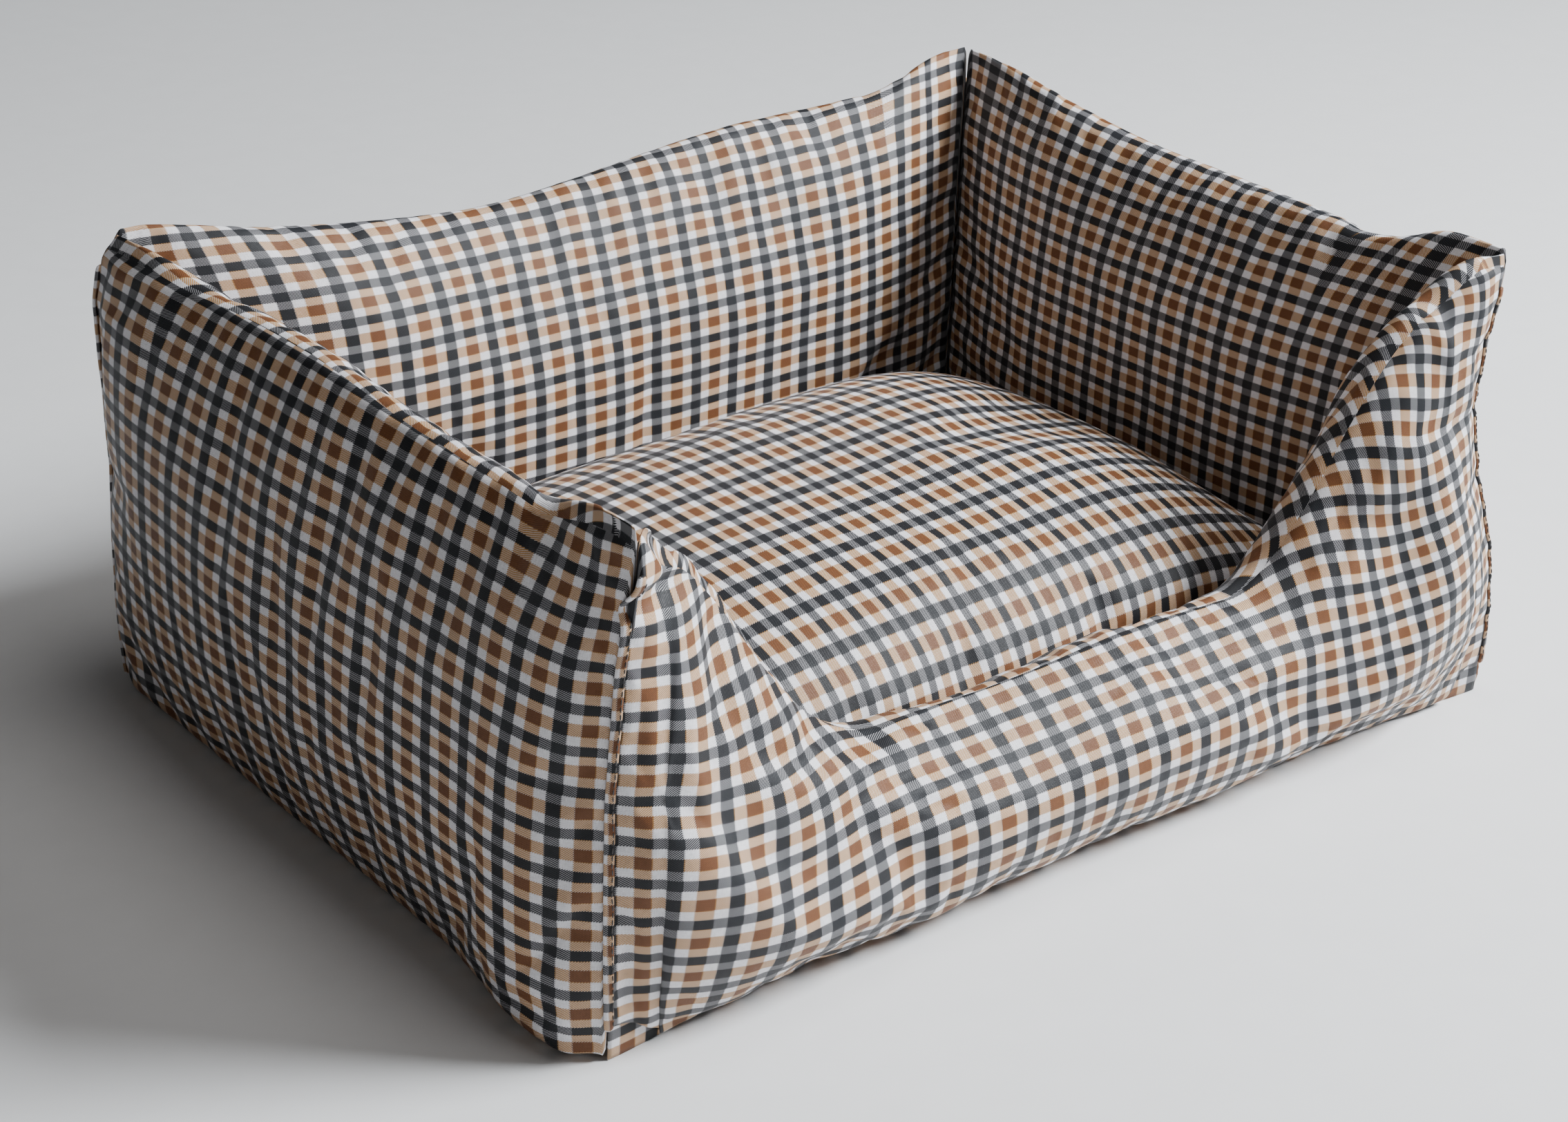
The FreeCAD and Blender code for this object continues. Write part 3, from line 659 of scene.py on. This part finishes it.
def cushion_grid(top):
    """One panel of the cushion: a grid that ends at the edge seam all round. The top panel stands
    out past the seam before it turns in over the crown."""
    s = np.linspace(-1, 1, CUSHION_COLUMNS + 1)
    t = np.linspace(-1, 1, CUSHION_ROWS + 1)
    s, t = np.meshgrid(s, t, indexing="ij")
    ring = np.maximum(np.abs(s), np.abs(t))
    stops = [0, EDGE, 0.93, 1]
    reach = np.interp(ring, stops, [0, 0.965, 1, 0.931] if top else [0, 0.795, 0.857, 0.931])
    out = reach / np.maximum(ring, 1e-6)
    x = s * out * CUSHION_HALF_LENGTH * (1 - 0.05 * np.abs(t) ** 6)
    y = t * out * CUSHION_HALF_WIDTH * (1 - 0.07 * np.abs(s) ** 6)
    if top:
        a = np.clip(np.abs(s) / EDGE, 0, 1)
        b = np.clip(np.abs(t) / EDGE, 0, 1)
        dome = (1 - a ** 3.0) * (1 - b ** 2.8)
        side = np.interp(ring, stops, [SIDE_HEIGHT, SIDE_HEIGHT, 0.056, SEAM_HEIGHT])
        z = side + CROWN * dome ** 0.8
        z = z + 0.012 * hump(x, 0.16, 0.09) * smooth((1 - ring) / 0.12)
        z = z + 0.006 * hump(x, 0.03, 0.14) * hump(y, 0.1, 0.06) * smooth((1 - ring) / 0.12)
    else:
        z = np.interp(ring, stops, [UNDERSIDE, UNDERSIDE, 0.024, SEAM_HEIGHT])
    return np.stack([x, y, z], axis=2)


def sheet_faces(columns, rows):
    return [(k * rows + j, (k + 1) * rows + j, (k + 1) * rows + j + 1, k * rows + j + 1)
            for k in range(columns - 1) for j in range(rows - 1)]


def make_cushion(top, bottom, cloth):
    """Joins the two panels at the edge seam."""
    columns, rows, _ = top.shape
    points = list(top.reshape(-1, 3))
    under = {}
    for k in range(columns):
        for j in range(rows):
            if k in (0, columns - 1) or j in (0, rows - 1):
                under[k * rows + j] = k * rows + j
            else:
                under[k * rows + j] = len(points)
                points.append(bottom[k, j])
    faces = sheet_faces(columns, rows)
    flat_top = cloth.reshape(-1, 2)
    flat_bottom = cushion_cloth(bottom).reshape(-1, 2)
    uvs = [flat_top[i] for face in faces for i in face]
    below = [tuple(reversed(face)) for face in faces]
    uvs += [flat_bottom[i] for face in below for i in face]
    faces = faces + [tuple(under[i] for i in face) for face in below]
    piece = new_piece("cushion_pad", np.array(points), faces, uvs, CUSHION_CLOTH)
    subdivide(piece)
    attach(piece, "cushion")
    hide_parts("cushion_top_panel", "cushion_bottom_panel", "cushion_filling")


def cushion_cloth(panel):
    """Cloth coordinates of a panel, by distance along its rows and columns."""
    along = arc_lengths(panel.transpose(1, 0, 2)).T
    across = arc_lengths(panel)
    along = along - along[CUSHION_COLUMNS // 2][None, :]
    across = across - across[:, CUSHION_ROWS // 2][:, None]
    return np.stack([along, across], axis=2)


# ---------------------------------------------------------------- corner seams

FOLD_WIDTH = 4.6 * MM
FOLD_RISE = 1.3 * MM
STITCH = 2.7 * MM
STITCH_PITCH = 3.5 * MM
STITCH_RADIUS = 0.32 * MM
STITCH_SIDES = 6
# Along a stitch, as a share of its length, and its thickness there.
STITCH_PROFILE = [(0.0, 0.25), (0.15, 0.85), (0.5, 1.0), (0.85, 0.85), (1.0, 0.25)]
# Where the six edges of a fold's section lie across the cloth, and where the fold starts on it.
FOLD_CLOTH = (0.0, 0.0012, 0.0035, 0.0058, 0.007, 0.0085)
FOLD_START = (0.0035, 0.003)


def beside_corner(shape, first, distance, rows):
    """Points of a wall's outer panel at a distance along it from one end, and the way out of it."""
    ends = shape if first else shape[::-1]
    line = ends[:5, rows]
    lengths = np.linalg.norm(np.diff(line, axis=0), axis=2).cumsum(axis=0)
    lengths = np.concatenate([np.zeros((1, lengths.shape[1])), lengths])
    spots = np.array([[np.interp(distance, lengths[:, j], line[:, j, i]) for i in range(3)]
                      for j in range(line.shape[1])])
    along = line[2] - line[0]
    up = np.gradient(line[1], axis=0)
    way = np.cross(along, up) * (1 if first else -1)
    return spots, way / np.linalg.norm(way, axis=1, keepdims=True)


def tube_faces(rings, around):
    faces = []
    for i in range(rings - 1):
        for j in range(around):
            a, b = i * around + j, i * around + (j + 1) % around
            faces.append((a, b, b + around, a + around))
    faces.append(tuple(range(around))[::-1])
    faces.append(tuple((rings - 1) * around + j for j in range(around)))
    return faces


def make_corner_seam(name, shape, first):
    """The folded strip down an outer corner, sewn flat, with the stitches along its free edge."""
    rows = list(range(0, SEAM_ROW - 2))
    near, out = beside_corner(shape, first, 0.0, rows)
    middle, _ = beside_corner(shape, first, FOLD_WIDTH * 0.5, rows)
    far, _ = beside_corner(shape, first, FOLD_WIDTH, rows)
    inner = near + (near - middle) * 0.2
    rings = np.stack([
        inner - out * 0.6 * MM, inner + out * FOLD_RISE, middle + out * FOLD_RISE * 1.15,
        far + out * FOLD_RISE, far - out * 0.4 * MM, middle - out * 0.8 * MM,
    ], axis=1)
    around = len(FOLD_CLOTH)
    faces = tube_faces(len(rows), around)
    lengths = arc_lengths(near[None])[0] + FOLD_START[1]
    uvs = [(FOLD_CLOTH[i % around] + FOLD_START[0], lengths[i // around])
           for face in faces for i in face]
    fold = new_piece("corner_fold_" + name, rings.reshape(-1, 3), faces, uvs, WALL_CLOTH)
    subdivide(fold)
    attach(fold, "bed")
    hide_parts("corner_seam_" + name)
    path, _ = beside_corner(shape, first, FOLD_WIDTH * 0.82, rows)
    make_stitches("corner_stitches_" + name, path + out * (FOLD_RISE + 0.15 * MM), "bed")


def make_stitches(name, path, body):
    """A row of stitches along a path, each a short rounded bar that dips at its ends."""
    lengths = arc_lengths(path[None])[0]
    points = []
    faces = []
    for start in np.arange(0.004, lengths[-1] - 0.006, STITCH_PITCH):
        spots = [
            np.array([np.interp(start + STITCH * share, lengths, path[:, i]) for i in range(3)])
            for share, _ in STITCH_PROFILE
        ]
        way = spots[-1] - spots[0]
        way /= np.linalg.norm(way)
        side = np.cross(way, (0.3, 0.5, 0.81))
        side /= np.linalg.norm(side)
        other = np.cross(way, side)
        first = len(points)
        for spot, (_, thick) in zip(spots, STITCH_PROFILE):
            for step in range(STITCH_SIDES):
                angle = 2 * math.pi * step / STITCH_SIDES
                offset = side * math.cos(angle) + other * math.sin(angle)
                points.append(spot + offset * STITCH_RADIUS * thick)
        bar = tube_faces(len(STITCH_PROFILE), STITCH_SIDES)
        faces += [tuple(first + i for i in face) for face in bar]
    uvs = [(0.0, 0.0) for face in faces for _ in face]
    row = new_piece(name, np.array(points), faces, uvs, THREAD)
    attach(row, body)


# ---------------------------------------------------------------- base

SOLE_HALF_LENGTH = 0.285
SOLE_HALF_WIDTH = 0.211
PANEL_THICKNESS = 1.8 * MM
STRIP_THICKNESS = 1.1 * MM
STRIP_LIFT = 0.0004
STRIP_HEIGHT = 0.021
STRIP_LENGTH = 0.054
STRIP_SET_IN = (0.0165, 0.0158)


def closed_sheet_faces(columns, rows):
    """Faces of a thick sheet: two grids of points, one after the other, joined round the rim."""
    count = columns * rows
    faces = sheet_faces(columns, rows)
    below = [tuple(i + count for i in reversed(face)) for face in faces]
    index = np.arange(count).reshape(columns, rows)
    sides = [index[:-1, 0], index[-1, :-1], index[:0:-1, -1], index[0, :0:-1]]
    rim = np.concatenate(sides).tolist()
    ring = [(b, a, a + count, b + count) for a, b in zip(rim, rim[1:] + rim[:1])]
    return faces + below + ring


def slab(name, low_of, high_of, outline, columns, rows, material):
    """A closed flat piece: a top and a bottom grid over the same outline, joined round the rim."""
    s, t = np.meshgrid(np.linspace(-1, 1, columns + 1), np.linspace(-1, 1, rows + 1), indexing="ij")
    x, y = outline(s, t)
    top = np.stack([x, y, high_of(s, t)], axis=2)
    bottom = np.stack([x, y, low_of(s, t)], axis=2)
    points = np.concatenate([top.reshape(-1, 3), bottom.reshape(-1, 3)])
    faces = closed_sheet_faces(columns + 1, rows + 1)
    uvs = [points[i, :2] for face in faces for i in face]
    return new_piece(name, points, faces, uvs, material)


def make_base():
    """The bottom cloth, the padded floor inside the walls, and the strips that show at the front
    corners under the lifted edge of the front wall."""

    def sole(s, t):
        front = np.where(t < 0, -0.016, 0.003) * (1 - s * s)
        return s * (SOLE_HALF_LENGTH + 0.004 * (1 - t * t)), t * (SOLE_HALF_WIDTH + front)

    flat = slab("base_panel", lambda s, t: np.zeros_like(s),
                lambda s, t: np.full_like(s, PANEL_THICKNESS), sole, 60, 44, WALL_CLOTH)
    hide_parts("base_bottom_panel")
    floor_low, floor_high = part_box("base_pad")
    half = Vector((floor_high.x, floor_high.y)) + Vector((0.003, 0.003))

    def inside(s, t):
        return s * half.x * (1 - 0.02 * np.abs(t) ** 8), t * half.y * (1 - 0.03 * np.abs(s) ** 8)

    def puff(s, t):
        edge = (1 - np.abs(s) ** 14) * (1 - np.abs(t) ** 14)
        channels = np.abs(np.sin(s * math.pi * 3)) ** 0.35 * np.abs(np.sin(t * math.pi * 2)) ** 0.35
        return floor_low.z + 0.0035 + edge ** 0.5 * (0.0028 + 0.0022 * channels)

    pad = slab("base_padding", lambda s, t: np.full_like(s, floor_low.z), puff, inside, 132, 96,
               WALL_CLOTH)
    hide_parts("base_pad", "base_lining")
    for piece in (flat, pad):
        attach(piece, "bed")
    for name, side in (("left", -1), ("right", 1)):
        make_base_strip(name, side)


def make_base_strip(name, side):
    """A flat strip of the base's cloth under the front wall's lifted corner."""
    columns, rows = 22, 9
    points = []
    for depth in (0.0, STRIP_THICKNESS):
        for k in range(columns + 1):
            along = k / columns
            x = side * (HALF_LENGTH - STRIP_SET_IN[0] - STRIP_LENGTH * along)
            y = -HALF_WIDTH + STRIP_SET_IN[1] + 0.006 * along ** 1.5
            for j in range(rows + 1):
                up = j / rows
                belly = 0.0006 * math.sin(up * math.pi)
                points.append((x, y + depth - belly, STRIP_LIFT + STRIP_HEIGHT * up))
    faces = closed_sheet_faces(columns + 1, rows + 1)
    uvs = [(points[i][0], points[i][2] + 0.004) for face in faces for i in face]
    piece = new_piece("base_strip_" + name, np.array(points), faces, uvs, WALL_CLOTH)
    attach(piece, "bed")


# ---------------------------------------------------------------- zip

ZIP_LEAN = math.radians(39.14)
LIP_REACH = 0.163
LIP_STEPS = 60
# The section of a lip, in millimetres up the slope from the zip's middle and out from it.
LIP_PROFILE = [(8.6, 0.6), (8.7, 1.2), (9.6, 1.5), (11.6, 1.2), (13.2, 0.2), (13.0, -0.5),
               (11.6, 0.45)]


def make_zip():
    """Lips of cloth along the zip's tape, and materials for the zip's own parts."""
    _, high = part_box("zip_tape_upper")
    low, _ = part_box("zip_tape_lower")
    middle = Vector((0, (high.y + low.y) / 2, (high.z + low.z) / 2))
    out = Vector((0, math.cos(ZIP_LEAN), -math.sin(ZIP_LEAN)))
    along = Vector((0, math.sin(ZIP_LEAN), math.cos(ZIP_LEAN)))
    for name, side in (("upper", 1), ("lower", -1)):
        points = []
        for k in range(LIP_STEPS + 1):
            x = -LIP_REACH + 2 * LIP_REACH * k / LIP_STEPS
            for a, b in LIP_PROFILE:
                spot = middle + along * (a * side * MM) + out * (b * MM)
                points.append((x, spot.y, spot.z))
        faces = tube_faces(LIP_STEPS + 1, len(LIP_PROFILE))
        if side > 0:
            faces = [tuple(reversed(face)) for face in faces]
        uvs = [(points[i][0], points[i][2] * 1.3) for face in faces for i in face]
        lip = new_piece("zip_lip_" + name, np.array(points), faces, uvs, CUSHION_CLOTH)
        subdivide(lip)
        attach(lip, "cushion")
    finishes = {
        "zip_tape_upper": plain_weave("zip_tape_weave", (0.02, 0.02, 0.023, 1)),
        "zip_teeth": moulded("zip_teeth_plastic", (0.012, 0.012, 0.014, 1)),
        "zip_slider": worn_metal("zip_plating", (0.55, 0.53, 0.49, 1)),
    }
    finishes["zip_tape_lower"] = finishes["zip_tape_upper"]
    finishes["zip_stops"] = finishes["zip_pull"] = finishes["zip_slider"]
    for node, material in finishes.items():
        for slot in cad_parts[node].material_slots:
            slot.material = material


# ---------------------------------------------------------------- camera, light and floor

PHOTO_WIDTH = 2270
FOCAL_PIXELS = 4490
SENSOR = 36.0
CAMERA_ANGLES = (-39.5, 26.2, 1.8)
CAMERA_TARGET = (-0.0465, -0.0317, 0.1)
CAMERA_DISTANCE = 1.58
LIGHT_AIM = (0, 0, 0.1)
FLOOR_REACH = 6.0


def make_camera():
    azimuth, elevation, roll = (math.radians(a) for a in CAMERA_ANGLES)
    back = Vector((math.sin(azimuth) * math.cos(elevation),
                   -math.cos(azimuth) * math.cos(elevation), math.sin(elevation)))
    data = bpy.data.cameras.new("camera")
    data.sensor_width = SENSOR
    data.lens = FOCAL_PIXELS / PHOTO_WIDTH * SENSOR
    camera = bpy.data.objects.new("camera", data)
    level = (-back).to_track_quat("-Z", "Y").to_matrix()
    right, up = level.col[0], level.col[1]
    turned = Matrix((right * math.cos(roll) + up * math.sin(roll),
                     up * math.cos(roll) - right * math.sin(roll), back)).transposed()
    spot = Vector(CAMERA_TARGET) + back * CAMERA_DISTANCE
    camera.matrix_world = Matrix.Translation(spot) @ turned.to_4x4()
    bpy.context.scene.collection.objects.link(camera)
    bpy.context.scene.camera = camera


def area_light(name, spot, size, power, colour):
    data = bpy.data.lights.new(name, "AREA")
    data.shape = "DISK"
    data.size = size
    data.energy = power
    data.color = colour
    light = bpy.data.objects.new(name, data)
    light.location = spot
    aim = Vector(LIGHT_AIM) - Vector(spot)
    light.rotation_euler = aim.to_track_quat("-Z", "Y").to_euler()
    bpy.context.scene.collection.objects.link(light)


def make_stage():
    n = Nodes("floor")
    speckle = n.noise(n.place(), 40.0, 4.0)
    n.set(Base_Color=n.blend(n.span(speckle, 0.3, 0.7, 0.0, 1.0), (0.78, 0.78, 0.78, 1),
                             (0.8, 0.8, 0.8, 1)), Roughness=0.7)
    mesh = bpy.data.meshes.new("floor")
    far = FLOOR_REACH
    mesh.from_pydata([(-far, -far, 0), (far, -far, 0), (far, far, 0), (-far, far, 0)], [],
                     [(0, 1, 2, 3)])
    mesh.materials.append(n.material)
    floor = bpy.data.objects.new("floor", mesh)
    bpy.context.scene.collection.objects.link(floor)
    world = bpy.data.worlds.new("studio")
    world.use_nodes = True
    sky = world.node_tree.nodes["Background"]
    sky.inputs[0].default_value = (0.93, 0.96, 1.0, 1)
    sky.inputs[1].default_value = 0.055
    bpy.context.scene.world = world
    area_light("window", (1.7, -1.35, 1.9), 1.1, 218, (0.93, 0.965, 1.0))
    area_light("fill", (-1.7, -0.8, 0.9), 1.6, 1.2, (1.0, 0.88, 0.76))
    area_light("top", (0.2, -0.3, 2.1), 1.2, 12, (1.0, 0.99, 0.98))


# ---------------------------------------------------------------- putting it together


def plan_walls():
    return [
        plan_wall("front_wall", True, HALF_LENGTH, HALF_WIDTH, 0, front_height,
                  ((1.02, 0.3), (1.1, 0.2))),
        plan_wall("right_wall", False, HALF_WIDTH, HALF_LENGTH, 90, right_height,
                  ((1.0, 0.0), (1.22, 0.0))),
        plan_wall("back_wall", False, HALF_LENGTH, HALF_WIDTH, 180, back_height,
                  ((1.0, 0.0), (1.1, 0.0))),
        plan_wall("left_wall", False, HALF_WIDTH, HALF_LENGTH, 270, left_height,
                  ((1.0, 0.0), (1.1, 0.0)), spread=True),
    ]


def simulate(plans, top):
    """The walls' and the cushion's shapes after the cloth has been blown up."""
    trials = []
    for plan in plans:
        columns, ring, _ = plan["shape"].shape
        faces, _ = ring_faces(columns, ring, plan["panels"])
        index = np.arange(columns * ring).reshape(columns, ring)
        held = set(index[:, sewn_rows(ring)].ravel()) | set(index[[0, -1]].ravel())
        trials.append(filled(plan["shape"], faces, sorted(held), WALL_GROWTH))
    columns, rows, _ = top.shape
    index = np.arange(columns * rows).reshape(columns, rows)
    rim = set(index[[0, -1]].ravel()) | set(index[:, [0, -1]].ravel())
    pad = filled(top, sheet_faces(columns, rows), sorted(rim), CUSHION_GROWTH)
    run_frames()
    shapes = [
        wrinkled(plan["shape"], collect(trial, plan["shape"]), WALL_GAIN, WALL_CAP)
        for plan, trial in zip(plans, trials)
    ]
    top = wrinkled(top, collect(pad, top), CUSHION_GAIN, CUSHION_CAP)
    bpy.context.scene.frame_set(1)
    return shapes, top


def main():
    make_camera()
    make_stage()
    plans = plan_walls()
    top = cushion_grid(True)
    bottom = cushion_grid(False)
    cloth = cushion_cloth(top)
    shapes = [plan["shape"] for plan in plans]
    shapes, top = simulate(plans, top)
    fold_tip(shapes[0])
    for plan, shape in zip(plans, shapes):
        finish_wall(plan, shape)
    make_cushion(top, bottom, cloth)
    make_corner_seam("front_left", shapes[0], True)
    make_corner_seam("front_right", shapes[0], False)
    make_corner_seam("back_right", shapes[2], True)
    make_corner_seam("back_left", shapes[2], False)
    make_base()
    make_zip()


main()
